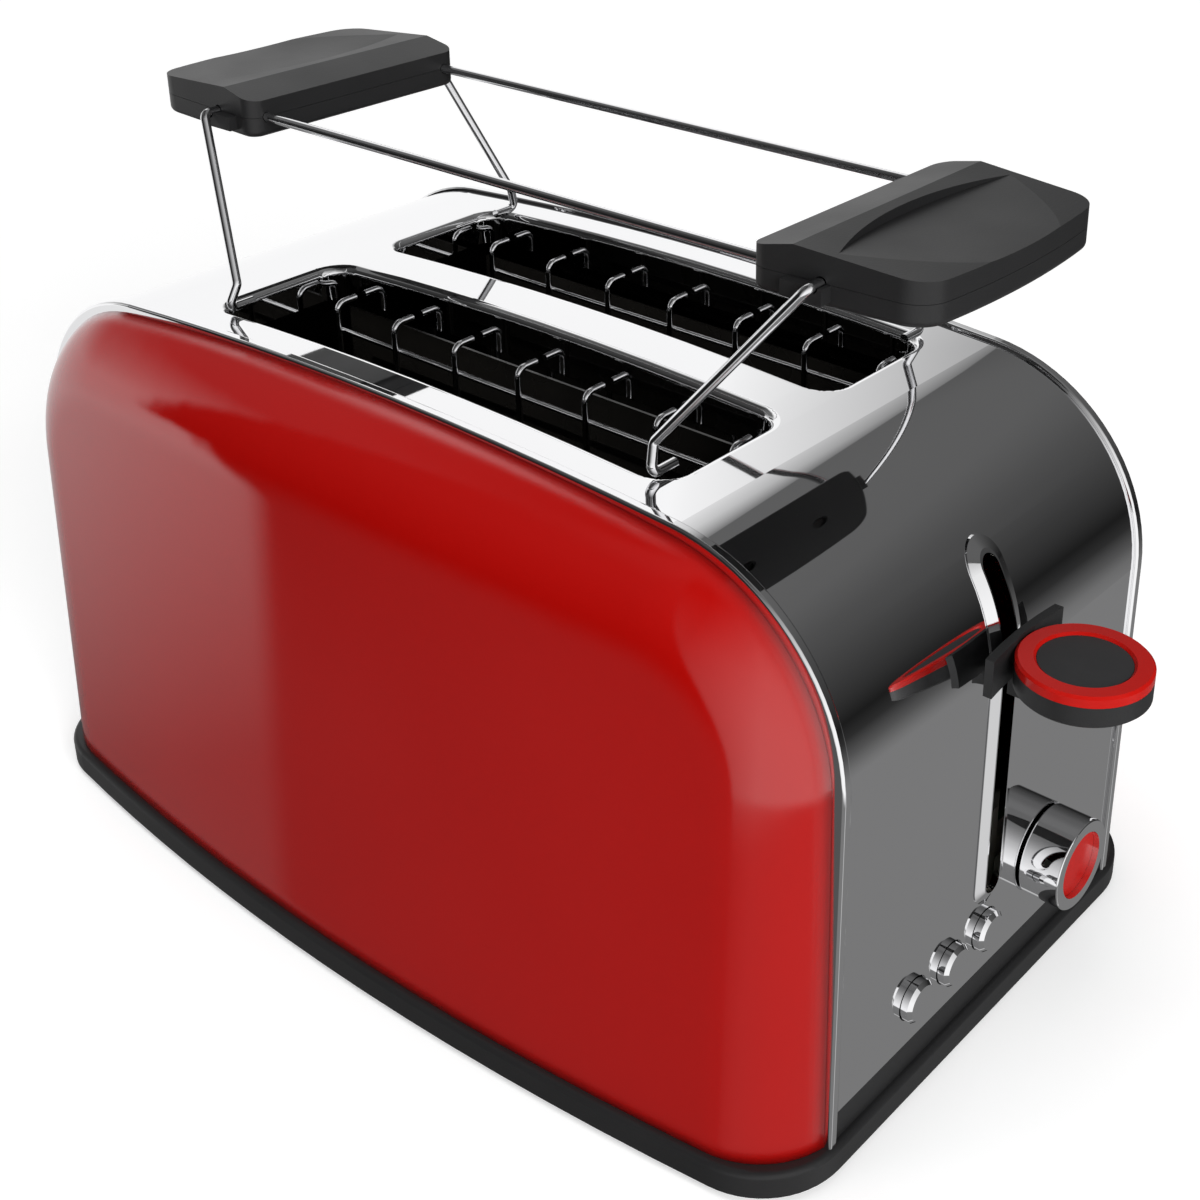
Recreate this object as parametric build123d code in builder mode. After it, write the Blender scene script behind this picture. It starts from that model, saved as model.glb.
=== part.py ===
import os
from math import atan2, cos, sin, sqrt

from build123d import *

os.makedirs("parts", exist_ok=True)

# Two-slot toaster with a warming rack, in millimetres.
# The origin is on the table under the middle of the body, +X is the control end, +Z is up.

# Body outline, seen from the long side
half_length = 138.7
body_top = 155.7
shoulder_radius = 48.7
crown_radius = 1207.0
rim_half_width = 64.0
sheet = 0.8
seat_gap = 0.1

# Base
foot_rise = 2.0
skirt_height = 7.0
base_half_length = 140.7
base_half_width = 92.5
bow_radius = 872.0
base_corner = 23.0
base_wall = 3.0
deck = 3.0
upstand_height = 8.0
upstand_wall = 2.4
lip_height = 4.0
skirt_edge = 1.5

# Underside
foot_radius = 8.0
foot_edge = 0.5
foot_x = 112.0
foot_y = 62.0
plate_rise = 0.8
screw_x = 92.0
screw_y = 62.0
screw_radius = 1.5
screw_head_radius = 3.0
screw_head = 1.0
screw_sink = 2.0
boss_radius = 5.0

# Red side panels
panel_half_width = 89.5
panel_wall = 2.0
panel_round = 24.0
panel_lean = 2.5

# Bright rim trim
trim_width = 3.0
trim_proud = 1.0
trim_depth = 4.5
trim_tongue = 3.0
trim_round = 0.8

# Bread slots
slot_middle = 3.3
slot_length = 154.7
slot_inner = 8.9
slot_width = 41.4
slot_corner = 7.0
slot_lip = 9.0
slot_edge = 2.4

# Lever slot in the control end
lever_slot_bottom = 41.5
lever_slot_top = 131.7
lever_slot_width = 6.0
bezel_margin = 3.3
bezel_proud = 1.3
bezel_land = 0.4
bezel_side = 0.3
slot_relief = 0.85

# Chassis
chassis_margin = 7.6
chassis_sheet = 1.0
chassis_half_width = 58.0
chassis_bottom = 17.6
chassis_top = 143.0
chassis_leg = 3.6
liner_margin = 0.2

# Heaters
heater_outer = 54.5
heater_card = 0.8
heater_bottom = 24.0
heater_top = 136.0
ribbon_pitch = 8.0
ribbon_height = 1.8
ribbon_thickness = 0.3
ribbon_margin = 9.0

# Bread guards
guard_offset = 8.2
guard_pivot_height = 24.0
guard_top = 146.0
guard_wire = 1.7
guard_rail = 1.5
guard_weld = 1.1
guard_bend = 2.6
guard_rod = 2.6
guard_wires = 7
guard_end_margin = 8.0
guard_return = 6.6
guard_rails = (58.0, 98.0, 138.0)
pivot_clearance = 0.2
pivot_overhang = 2.0

# Carriage, lever and lift
carriage_travel = 60.0
bush_gap = 4.75
rod_radius = 3.0
rod_top = 138.0
rod_socket = 2.0
slide_clearance = 0.3
bush_bottom = 89.0
bush_height = 21.0
bush_half_width = 7.5
bracket_sheet = 1.5
bracket_gap = 3.0
bracket_half_width = 34.0
bracket_bottom = 87.0
bracket_height = 13.0
lift_sheet = 1.2
lift_height = 8.0
lift_wing = 7.0
lift_wing_length = 7.0
lift_wings = 6
lift_overhang = 5.0
slit_clearance = 0.7
tongue_height = 7.0
tongue_half_width = 1.5
tongue_reach = 9.0

# Lever paddle
paddle_middle = 157.9
paddle_radius = 15.2
paddle_top = 115.0
paddle_thickness = 8.0
ring_thickness = 2.7
ring_inner_radius = 10.6
inlay_recess = 0.6
inlay_thickness = 1.35
wing_half_width = 15.0
wing_height = 9.5
wing_thickness = 2.2
wing_radius = 120.0
wing_gap = 0.8
neck_half_width = 4.5
neck_overlap = 2.7
pad_edge = 0.7

# Lift spring
spring_radius = 5.2
spring_wire = 1.0

# Electromagnet
magnet_y = -22.0
magnet_half_width = 7.5
magnet_depth = 12.0
magnet_gap = 0.5
armature_thickness = 3.0
core_leg = 3.0
coil_clearance = 0.6

# Controls
button_height = 29.6
button_pitch = 15.5
button_first = -31.0
button_count = 3
button_radius = 5.4
button_proud = 2.8
button_travel = 2.0
button_flange = 1.5
button_flange_radius = 6.6
button_stem_radius = 2.5
button_edge = 0.9
plunger_proud = 1.25
knob_y = 26.3
knob_z = 38.1
knob_radius = 12.0
knob_length = 10.8
knob_gap = 0.5
knob_face_radius = 8.9
knob_recess = 2.4
knob_stem_radius = 3.0
knob_edge = 0.4
knob_inlay_depth = 1.6
running_clearance = 0.3
board_x = 121.0
board_sheet = 1.6
board_half_width = 42.0
board_bottom = 18.0
board_low_top = 35.0
board_high_top = 56.0
board_lever_room = 7.0
frame_x = 130.0
frame_sheet = 3.0
post_radius = 2.0
post_inset = 2.5
switch_half_height = 5.0
potentiometer_radius = 9.0

# Cord inlet
gland_y = -42.0
gland_z = 34.0
gland_bore = 3.75
gland_radius = 6.3
gland_flange_radius = 9.5
gland_flange = 2.0
gland_edge = 1.0
gland_length = 12.0

# Crumb tray
tray_half_width = 51.0
tray_wall_height = 5.0
tray_sheet = 0.8
tray_clearance = 0.3
tray_front = 1.8
tray_end = 86.0
tray_mouth_margin = 2.5
pull_half_width = 18.0
pull_depth = 3.0
pull_height = 2.0

# Warming rack
rack_middle = 10.65
rack_inner = 80.65
handle_length = 44.5
handle_half_width = 36.0
handle_outer_half_width = 33.5
handle_bulge = 2.5
handle_inner_corner = 4.0
handle_outer_corner = 8.0
handle_bottom_edge = 1.6
seam_height = 201.0
handle_below = 5.2
handle_inner_rise = 4.4
handle_ridge_rise = 6.8
handle_outer_rise = 4.6
ridge_offset = 11.0
scoop_offset = 14.0
scoop_floor = 4.3
scoop_radius = 285.0
scoop_end_radius = 87.0
rack_wire = 2.4
wire_clearance = 0.1
rail_y = 31.0
rail_depth = 6.5
left_pivot_inset = 14.6
right_pivot_inset = 17.8
lug_reach = 2.0
lug_outer = 2.4
lug_inner = 8.0
rack_screw_y = 14.5
rack_screw_inset = 23.5
left_foot_x = -66.0
right_foot_x = 78.5
foot_edge_overlap = 2.0
foot_stub = 8.0
foot_height = 6.5
foot_kick = 2.6
leg_bend = 1.8
leg_exit = 1.6

# Derived places
deck_top = foot_rise + skirt_height
shell_bottom = deck_top + upstand_height
shell_half_width = rim_half_width - trim_width
wall_inner = half_length - sheet
shoulder_x = half_length - shoulder_radius
crown_centre = body_top - crown_radius
shoulder_z = crown_centre + sqrt((crown_radius - shoulder_radius) ** 2 - shoulder_x**2)
slot_y = slot_inner + slot_width / 2
slot_outer = slot_inner + slot_width
chassis_front = slot_middle + slot_length / 2 + chassis_margin
chassis_rear = slot_middle - slot_length / 2 - chassis_margin
bush_top = bush_bottom + bush_height
bracket_x = chassis_front + chassis_sheet + bracket_gap
rod_x = bracket_x + bracket_sheet + bush_gap + bush_half_width
bracket_top = bracket_bottom + bracket_height
armature_bottom = bracket_top - bracket_sheet - seat_gap - armature_thickness
magnet_top = armature_bottom - carriage_travel - magnet_gap
magnet_start = bracket_x + bracket_sheet + core_leg / 2 + coil_clearance
seat = seat_gap / 2
past_ends = 2 * half_length
tall = 4 * body_top


def crown_height(x):
    return crown_centre + sqrt(crown_radius**2 - x**2)


def arch(inset, bottom, y):
    # Body outline on the plane at this y, drawn in by the inset
    side = half_length - inset
    radius = shoulder_radius - inset
    turn = atan2(shoulder_z - crown_centre, shoulder_x)
    knee = (shoulder_x + radius * cos(turn), shoulder_z + radius * sin(turn))
    waist = (shoulder_x + radius * cos(turn / 2), shoulder_z + radius * sin(turn / 2))
    with BuildSketch(Plane.XZ.offset(-y)) as outline:
        with BuildLine():
            Line((side, bottom), (side, shoulder_z))
            ThreePointArc((side, shoulder_z), waist, knee)
            ThreePointArc(knee, (0, body_top - inset), (-knee[0], knee[1]))
            ThreePointArc((-knee[0], knee[1]), (-waist[0], waist[1]), (-side, shoulder_z))
            Line((-side, shoulder_z), (-side, bottom))
            Line((-side, bottom), (side, bottom))
        make_face()
    return outline.sketch


def plan(inset, height):
    # Bowed outline of the base at this height, drawn in by the inset
    length = base_half_length - inset
    middle = base_half_width - inset
    radius = bow_radius - inset
    end = middle - radius + sqrt(radius**2 - length**2)
    with BuildSketch(Plane.XY.offset(height)) as outline:
        with BuildLine():
            ThreePointArc((-length, -end), (0, -middle), (length, -end))
            Line((length, -end), (length, end))
            ThreePointArc((length, end), (0, middle), (-length, end))
            Line((-length, end), (-length, -end))
        make_face()
        fillet(outline.vertices(), base_corner - inset)
    return outline.sketch


def box_between(low, high, mode=Mode.ADD):
    size = [b - a for a, b in zip(low, high)]
    middle = tuple((a + b) / 2 for a, b in zip(low, high))
    with Locations(middle):
        Box(*size, mode=mode)


def rod_along_x(start, end, y, z, radius, mode=Mode.ADD):
    with Locations(((start + end) / 2, y, z)):
        Cylinder(radius, end - start, rotation=(0, 90, 0), mode=mode)


def rod_along_y(start, end, x, z, radius, mode=Mode.ADD):
    with Locations((x, (start + end) / 2, z)):
        Cylinder(radius, end - start, rotation=(90, 0, 0), mode=mode)


def rod_along_z(start, end, x, y, radius, mode=Mode.ADD):
    with Locations((x, y, (start + end) / 2)):
        Cylinder(radius, end - start, mode=mode)


def save(piece, name):
    piece.label = name
    export_step(piece, f"parts/{name}.step")


# Base: hollow skirt, deck, end upstands, lips behind the bright end walls, screw bosses
underside = foot_rise + plate_rise + sheet
rod_seat = deck_top - rod_socket
mouth_half_width = tray_half_width + tray_mouth_margin
lip_face = wall_inner - seat_gap
with BuildPart() as base:
    extrude(plan(0, foot_rise), amount=skirt_height)
    top_rim = base.faces().sort_by(Axis.Z)[-1].edges()
    fillet(top_rim, skirt_edge)
    extrude(plan(base_wall, foot_rise), amount=skirt_height - deck, mode=Mode.SUBTRACT)
    for side in (-1, 1):
        ends = sorted((side * half_length, side * (half_length - upstand_wall)))
        lips = sorted((side * lip_face, side * (lip_face - upstand_wall)))
        box_between(
            (ends[0], -shell_half_width + seat_gap, deck_top - deck),
            (ends[1], shell_half_width - seat_gap, shell_bottom),
        )
        box_between(
            (lips[0], -shell_half_width + seat_gap, deck_top - deck),
            (lips[1], shell_half_width - seat_gap, shell_bottom + lip_height),
        )
    box_between(
        (-half_length - seat_gap, -mouth_half_width, deck_top),
        (-lip_face + upstand_wall + seat_gap, mouth_half_width, shell_bottom),
        mode=Mode.SUBTRACT,
    )
    for x in (-screw_x, screw_x):
        for y in (-screw_y, screw_y):
            rod_along_z(underside + seat_gap, deck_top - deck, x, y, boss_radius)
            rod_along_z(
                underside + seat_gap, deck_top - deck / 2, x, y, screw_radius + seat, Mode.SUBTRACT
            )
    rod_along_z(rod_seat, deck_top, rod_x, 0, rod_radius + seat, Mode.SUBTRACT)
save(base.part, "base")

# Bottom plate closes the skirt from below
with BuildPart() as bottom_plate:
    extrude(plan(base_wall + seat_gap, foot_rise + plate_rise), amount=sheet)
    for x in (-screw_x, screw_x):
        for y in (-screw_y, screw_y):
            rod_along_z(
                foot_rise, underside + seat_gap, x, y, screw_radius + seat_gap, Mode.SUBTRACT
            )
save(bottom_plate.part, "bottom_plate")

# Foot pads under the bottom plate
with BuildPart() as foot_pads:
    for x in (-foot_x, foot_x):
        for y in (-foot_y, foot_y):
            rod_along_z(0, foot_rise + plate_rise - seat, x, y, foot_radius)
    chamfer(foot_pads.faces().group_by(Axis.Z)[0].edges(), foot_edge)
save(foot_pads.part, "foot_pads")

# Screws that hold the bottom plate to the base
head_top = foot_rise + plate_rise - seat
with BuildPart() as base_screws:
    for x in (-screw_x, screw_x):
        for y in (-screw_y, screw_y):
            rod_along_z(head_top - screw_head, head_top, x, y, screw_head_radius)
            rod_along_z(head_top, deck_top - deck / 2 - seat_gap, x, y, screw_radius)
save(base_screws.part, "base_screws")


# Bright shell: one sheet over the top and both ends
def slot_outlines(grow, height):
    with BuildSketch(Plane.XY.offset(height)) as slots:
        with Locations((slot_middle, -slot_y), (slot_middle, slot_y)):
            RectangleRounded(slot_length + 2 * grow, slot_width + 2 * grow, slot_corner + grow)
    return slots.sketch


def lever_slot(grow):
    height = lever_slot_top - lever_slot_bottom + 2 * grow
    middle = (lever_slot_top + lever_slot_bottom) / 2
    with BuildSketch(Plane.YZ) as slot:
        with Locations((0, middle)):
            SlotOverall(height, lever_slot_width + 2 * grow, rotation=90)
    return slot.sketch


button_places = [button_first + i * button_pitch for i in range(button_count)]
lip_bottom = crown_height(slot_middle + slot_length / 2) - slot_lip


def slotted_hull(inset, half_width, bottom):
    # Body hull with the two slots sunk in it, their upper edges rolled over
    with BuildPart() as hull:
        extrude(arch(inset, bottom, 0), amount=half_width, both=True)
        extrude(slot_outlines(inset, lip_bottom), amount=2 * slot_lip + body_top, mode=Mode.SUBTRACT)
        rolled = hull.edges().filter_by(lambda e: slot_rim(e, inset))
        fillet(rolled, slot_edge - inset)
    return hull.part


def slot_rim(edge, inset):
    # Upper edges of the slots: on the crown and inside the slots' own reach
    middle = edge.position_at(0.5)
    near = abs(middle.Z - (crown_height(middle.X) - inset)) < sheet / 2
    across = abs(middle.Y) < slot_outer + sheet + seat_gap
    along = abs(middle.X - slot_middle) < slot_length / 2 + sheet + seat_gap
    return near and across and along


with BuildPart() as chrome_shell:
    add(slotted_hull(0, shell_half_width - seat, shell_bottom + seat))
    extrude(
        slot_outlines(0, shell_bottom), amount=lip_bottom - shell_bottom + seat_gap, mode=Mode.SUBTRACT
    )
    add(slotted_hull(sheet, rim_half_width, foot_rise), mode=Mode.SUBTRACT)
    extrude(lever_slot(slot_relief), amount=past_ends, mode=Mode.SUBTRACT)
    for y in button_places:
        hole = button_radius + running_clearance
        rod_along_x(shoulder_x, past_ends, y, button_height, hole, Mode.SUBTRACT)
    stem_hole = knob_stem_radius + running_clearance
    rod_along_x(shoulder_x, past_ends, knob_y, knob_z, stem_hole, Mode.SUBTRACT)
    gland_hole = gland_radius + seat_gap
    rod_along_x(-past_ends, -shoulder_x, gland_y, gland_z, gland_hole, Mode.SUBTRACT)
save(chrome_shell.part, "chrome_shell")


# Red side panels: bowed in plan, leaning back, with a broad rounded edge
panel_bottom = deck_top + seat_gap


def panel_form(inset, bottom):
    # The front is part of a wide cylinder that leans back over the body
    axis_y = bow_radius - panel_half_width
    with BuildPart() as form:
        extrude(arch(inset, bottom, -rim_half_width / 2), amount=2 * panel_half_width)
        with Locations(Location((0, axis_y, panel_bottom), (-panel_lean, 0, 0))):
            Cylinder(bow_radius - inset, tall, mode=Mode.INTERSECT)
        front = form.faces().sort_by(Axis.Y)[0]
        fillet(front.edges().sort_by(Axis.Z)[1:], panel_round - inset)
    return form.part


with BuildPart() as red_panel_front:
    add(panel_form(0, panel_bottom))
    split(bisect_by=Plane.XZ.offset(rim_half_width + seat))
    add(panel_form(panel_wall, foot_rise), mode=Mode.SUBTRACT)
save(red_panel_front.part, "red_panel_front")

with BuildPart() as red_panel_rear:
    mirror(red_panel_front.part, about=Plane.XZ)
save(red_panel_rear.part, "red_panel_rear")

# Bright rim trim between the shell and each panel, with a tongue under the shell's edge
with BuildPart() as rim_trim_front:
    extrude(arch(-trim_proud, panel_bottom, -shell_half_width), amount=trim_width)
    extrude(arch(trim_depth, foot_rise, -shell_half_width), amount=trim_width, mode=Mode.SUBTRACT)
    fillet(
        rim_trim_front.edges().filter_by(
            lambda e: e.position_at(0.5).Z > crown_height(e.position_at(0.5).X) + trim_proud / 2
            or abs(e.position_at(0.5).X) > half_length + trim_proud / 2
        ).filter_by(lambda e: e.length > 2 * trim_width),
        trim_round,
    )
    extrude(
        arch(sheet + seat_gap, shell_bottom, -shell_half_width + trim_tongue), amount=trim_tongue
    )
    extrude(
        arch(trim_depth, foot_rise, -shell_half_width + 2 * trim_tongue),
        amount=3 * trim_tongue,
        mode=Mode.SUBTRACT,
    )
    for side in (-1, 1):
        lips = sorted((side * half_length, side * (lip_face - upstand_wall - seat_gap)))
        box_between(
            (lips[0], -shell_half_width, foot_rise),
            (lips[1], -shell_half_width + 2 * trim_tongue, shell_bottom + lip_height + seat_gap),
            mode=Mode.SUBTRACT,
        )
save(rim_trim_front.part, "rim_trim_front")

with BuildPart() as rim_trim_rear:
    mirror(rim_trim_front.part, about=Plane.XZ)
save(rim_trim_rear.part, "rim_trim_rear")

# Bright bezel round the lever slot, rising from the end wall and its shoulder towards the slot
with BuildPart() as lever_bezel:
    bezel_half = lever_slot_width / 2 + bezel_margin
    extrude(arch(-bezel_proud, shell_bottom, 0), amount=2 * bezel_half, both=True)
    extrude(arch(-seat, foot_rise, 0), amount=3 * bezel_half, both=True, mode=Mode.SUBTRACT)
    extrude(lever_slot(bezel_margin), amount=past_ends, mode=Mode.INTERSECT)
    extrude(lever_slot(0), amount=past_ends, mode=Mode.SUBTRACT)
    middle_line = lever_slot_width / 2 + bezel_margin * 3 / 4
    slot_centre = (lever_slot_top + lever_slot_bottom) / 2
    end_line = (lever_slot_top - lever_slot_bottom) / 2 + bezel_margin / 2
    proud_faces = lever_bezel.faces().filter_by(lambda face: face.normal_at(face.center()).X > 0.5)
    rim = ShapeList()
    for edge in proud_faces.edges():
        spot = edge @ 0.5
        if abs(spot.Y) > middle_line or abs(spot.Z - slot_centre) > end_line:
            rim.append(edge)
    chamfer(rim, bezel_margin - bezel_land, bezel_proud - bezel_side)
save(lever_bezel.part, "lever_bezel")

# Chassis end walls with slits for the bread lifts and holes for the guards
guard_places = [
    sign * y
    for sign in (-1, 1)
    for y in (slot_inner + guard_offset, slot_outer - guard_offset)
]
lift_places = (-slot_y, slot_y)
slit_bottom = bracket_bottom - carriage_travel - slit_clearance * 2
slit_top = bracket_bottom + lift_height + slit_clearance * 2


def chassis_wall(x):
    with BuildPart() as wall:
        box_between(
            (x, -chassis_half_width, chassis_bottom), (x + chassis_sheet, chassis_half_width, chassis_top)
        )
        for side in (-1, 1):
            legs = sorted((side * chassis_half_width, side * (chassis_half_width - chassis_leg)))
            box_between((x, legs[0], deck_top + seat), (x + chassis_sheet, legs[1], chassis_bottom))
        for y in guard_places:
            rod_along_x(
                x - chassis_sheet,
                x + 2 * chassis_sheet,
                y,
                guard_pivot_height,
                guard_rod / 2 + pivot_clearance,
                Mode.SUBTRACT,
            )
        for y in lift_places:
            half = lift_sheet / 2 + slit_clearance
            box_between(
                (x - chassis_sheet, y - half, slit_bottom),
                (x + 2 * chassis_sheet, y + half, slit_top),
                mode=Mode.SUBTRACT,
            )
    return wall.part


chassis_front_wall = chassis_wall(chassis_front)
save(chassis_front_wall, "chassis_front_wall")
chassis_rear_wall = chassis_wall(chassis_rear - chassis_sheet)
save(chassis_rear_wall, "chassis_rear_wall")

# Side liners close the oven between the chassis walls
oven_start = chassis_rear + liner_margin
oven_end = chassis_front - liner_margin
for side, name in ((-1, "side_liner_front"), (1, "side_liner_rear")):
    with BuildPart() as side_liner:
        faces = sorted((side * chassis_half_width, side * (chassis_half_width - sheet)))
        box_between((oven_start, faces[0], deck_top + seat), (oven_end, faces[1], chassis_top))
    save(side_liner.part, name)

# Heater cards and their ribbons
heater_rows = int((heater_top - heater_bottom - 2 * ribbon_margin) // ribbon_pitch)


def ribbon(face_y, side):
    # One flat ribbon run to and fro over a card's face
    left = oven_start + ribbon_margin
    right = oven_end - ribbon_margin
    with BuildPart() as run:
        outer = face_y + side * (seat + ribbon_thickness)
        inner = face_y + side * seat
        ys = sorted((outer, inner))
        for row in range(heater_rows + 1):
            z = heater_bottom + ribbon_margin + row * ribbon_pitch
            box_between((left, ys[0], z), (right, ys[1], z + ribbon_height))
            if row < heater_rows:
                x = left if row % 2 else right - ribbon_height
                box_between((x, ys[0], z), (x + ribbon_height, ys[1], z + ribbon_pitch))
    return run.part


for middle, name in ((-heater_outer, "front"), (0, "middle"), (heater_outer, "rear")):
    with BuildPart() as card:
        box_between(
            (oven_start, middle - heater_card / 2, heater_bottom),
            (oven_end, middle + heater_card / 2, heater_top),
        )
    save(card.part, f"heater_card_{name}")

save(ribbon(-heater_outer + heater_card / 2, 1), "heater_ribbon_front_outer")
save(ribbon(-heater_card / 2, -1), "heater_ribbon_front_inner")
save(ribbon(heater_card / 2, 1), "heater_ribbon_rear_inner")
save(ribbon(heater_outer - heater_card / 2, -1), "heater_ribbon_rear_outer")

# Bread guards: wires welded to a rod that turns in the chassis walls
guard_start = slot_middle - slot_length / 2 + guard_end_margin
guard_end = slot_middle + slot_length / 2 - guard_end_margin


def guard_wire_path(x, y, back):
    # One upright wire, its top bent back towards the slot's edge
    points = (
        (x, y, guard_pivot_height),
        (x, y, guard_top),
        (x, y + back * guard_return, guard_top),
    )
    with BuildPart() as wire:
        with BuildLine() as route:
            FilletPolyline(*points, radius=guard_bend)
        with BuildSketch(Plane.XY.offset(guard_pivot_height)):
            with Locations((x, y)):
                Circle(guard_wire / 2)
        sweep(path=route.line)
    return wire.part


def bread_guard(y, back):
    step = (guard_end - guard_start) / (guard_wires - 1)
    with BuildPart() as guard:
        rod_along_x(
            chassis_rear - chassis_sheet - pivot_overhang,
            chassis_front + chassis_sheet + pivot_overhang,
            y,
            guard_pivot_height,
            guard_rod / 2,
        )
        for i in range(guard_wires):
            add(guard_wire_path(guard_start + i * step, y, back))
        for z in guard_rails:
            rod_along_x(
                guard_start - guard_wire,
                guard_end + guard_wire,
                y + back * guard_weld,
                z,
                guard_rail / 2,
            )
    return guard.part


guard_names = ("guard_front_inner", "guard_front_outer", "guard_rear_inner", "guard_rear_outer")
guard_backs = (1, -1, -1, 1)
for y, back, name in zip(guard_places, guard_backs, guard_names):
    save(bread_guard(y, back), name)

# Guide rod, standing in the deck and held at its top by a bracket on the chassis wall
with BuildPart() as guide_rod:
    rod_along_z(rod_seat + seat, rod_top, rod_x, 0, rod_radius)
save(guide_rod.part, "guide_rod")

with BuildPart() as rod_bracket:
    box_between(
        (chassis_front + chassis_sheet + seat, -bush_half_width, rod_top - bracket_sheet * 2),
        (rod_x + bush_half_width, bush_half_width, rod_top - bracket_sheet),
    )
    box_between(
        (chassis_front + chassis_sheet + seat, -bush_half_width, rod_top - bracket_sheet * 2),
        (chassis_front + chassis_sheet + seat + bracket_sheet, bush_half_width, chassis_top),
    )
    rod_along_z(0, body_top, rod_x, 0, rod_radius + seat_gap, Mode.SUBTRACT)
save(rod_bracket.part, "rod_bracket")

# Bush that runs on the rod
with BuildPart() as carriage_bush:
    box_between(
        (rod_x - bush_half_width, -bush_half_width, bush_bottom),
        (rod_x + bush_half_width, bush_half_width, bush_top),
    )
    rod_along_z(0, body_top, rod_x, 0, rod_radius + slide_clearance, Mode.SUBTRACT)
save(carriage_bush.part, "carriage_bush")

# Carriage bracket: cross plate, cheek beside the bush, armature tab and lever tongue
cheek = bush_half_width + seat
cheek_end = rod_x + bush_half_width + seat
tongue_top = bush_top
tongue_bottom = tongue_top - tongue_height
tongue_end = half_length + tongue_reach
with BuildPart() as carriage_bracket:
    box_between(
        (bracket_x, -bracket_half_width, bracket_bottom),
        (bracket_x + bracket_sheet, bracket_half_width, bracket_top),
    )
    box_between(
        (bracket_x, cheek, bracket_bottom + bracket_sheet),
        (cheek_end + bracket_sheet, cheek + bracket_sheet, tongue_top),
    )
    box_between(
        (cheek_end, -tongue_half_width, tongue_bottom),
        (cheek_end + bracket_sheet, cheek + bracket_sheet, tongue_top),
    )
    box_between(
        (cheek_end, -tongue_half_width, tongue_bottom), (tongue_end, tongue_half_width, tongue_top)
    )
    box_between(
        (bracket_x, magnet_y - magnet_half_width, bracket_top - bracket_sheet),
        (magnet_start + magnet_depth, magnet_y + magnet_half_width, bracket_top),
    )
save(carriage_bracket.part, "carriage_bracket")

# Bread lifts: upright strips with bent wings, reaching through both chassis walls
lift_start = chassis_rear - chassis_sheet - lift_overhang
lift_end = bracket_x - seat
wing_step = (slot_length - 2 * guard_end_margin) / lift_wings
for y, name in zip(lift_places, ("bread_lift_front", "bread_lift_rear")):
    with BuildPart() as bread_lift:
        box_between(
            (lift_start, y - lift_sheet / 2, bracket_bottom),
            (lift_end, y + lift_sheet / 2, bracket_bottom + lift_height),
        )
        for i in range(lift_wings):
            x = guard_start + (i + 0.5) * wing_step
            box_between(
                (x - lift_wing_length / 2, y - lift_wing, bracket_bottom + lift_height - lift_sheet),
                (x + lift_wing_length / 2, y + lift_wing, bracket_bottom + lift_height),
            )
    save(bread_lift.part, name)

# Armature under the tab, and the electromagnet that holds it down
armature_top = bracket_top - bracket_sheet - seat
with BuildPart() as armature:
    box_between(
        (magnet_start, magnet_y - magnet_half_width, armature_bottom),
        (magnet_start + magnet_depth - seat_gap, magnet_y + magnet_half_width, armature_top),
    )
save(armature.part, "armature")

core_base = deck_top + seat
with BuildPart() as magnet_core:
    box_between(
        (magnet_start, magnet_y - magnet_half_width, core_base),
        (magnet_start + magnet_depth, magnet_y + magnet_half_width, magnet_top),
    )
    for side in (-1, 1):
        gap_ends = sorted(
            (magnet_y + side * core_leg / 2, magnet_y + side * (magnet_half_width - core_leg / 2))
        )
        box_between(
            (magnet_start - seat_gap, gap_ends[0], core_base + core_leg),
            (magnet_start + magnet_depth + seat_gap, gap_ends[1], magnet_top + seat_gap),
            mode=Mode.SUBTRACT,
        )
save(magnet_core.part, "magnet_core")

with BuildPart() as magnet_coil:
    coil_half = magnet_half_width - core_leg / 2 - seat
    box_between(
        (magnet_start - core_leg / 2, magnet_y - coil_half, core_base + core_leg + seat),
        (magnet_start + magnet_depth + core_leg / 2, magnet_y + coil_half, magnet_top - core_leg),
    )
    box_between(
        (magnet_start - seat, magnet_y - core_leg / 2 - seat, core_base),
        (magnet_start + magnet_depth + seat, magnet_y + core_leg / 2 + seat, magnet_top),
        mode=Mode.SUBTRACT,
    )
save(magnet_coil.part, "magnet_coil")

# Lift spring round the rod, between the deck and the bush, as a plain sleeve of its outer size
with BuildPart() as lift_spring:
    rod_along_z(deck_top + seat, bush_bottom - seat, rod_x, 0, spring_radius)
    rod_along_z(0, body_top, rod_x, 0, spring_radius - spring_wire, Mode.SUBTRACT)
save(lift_spring.part, "lift_spring")

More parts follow.
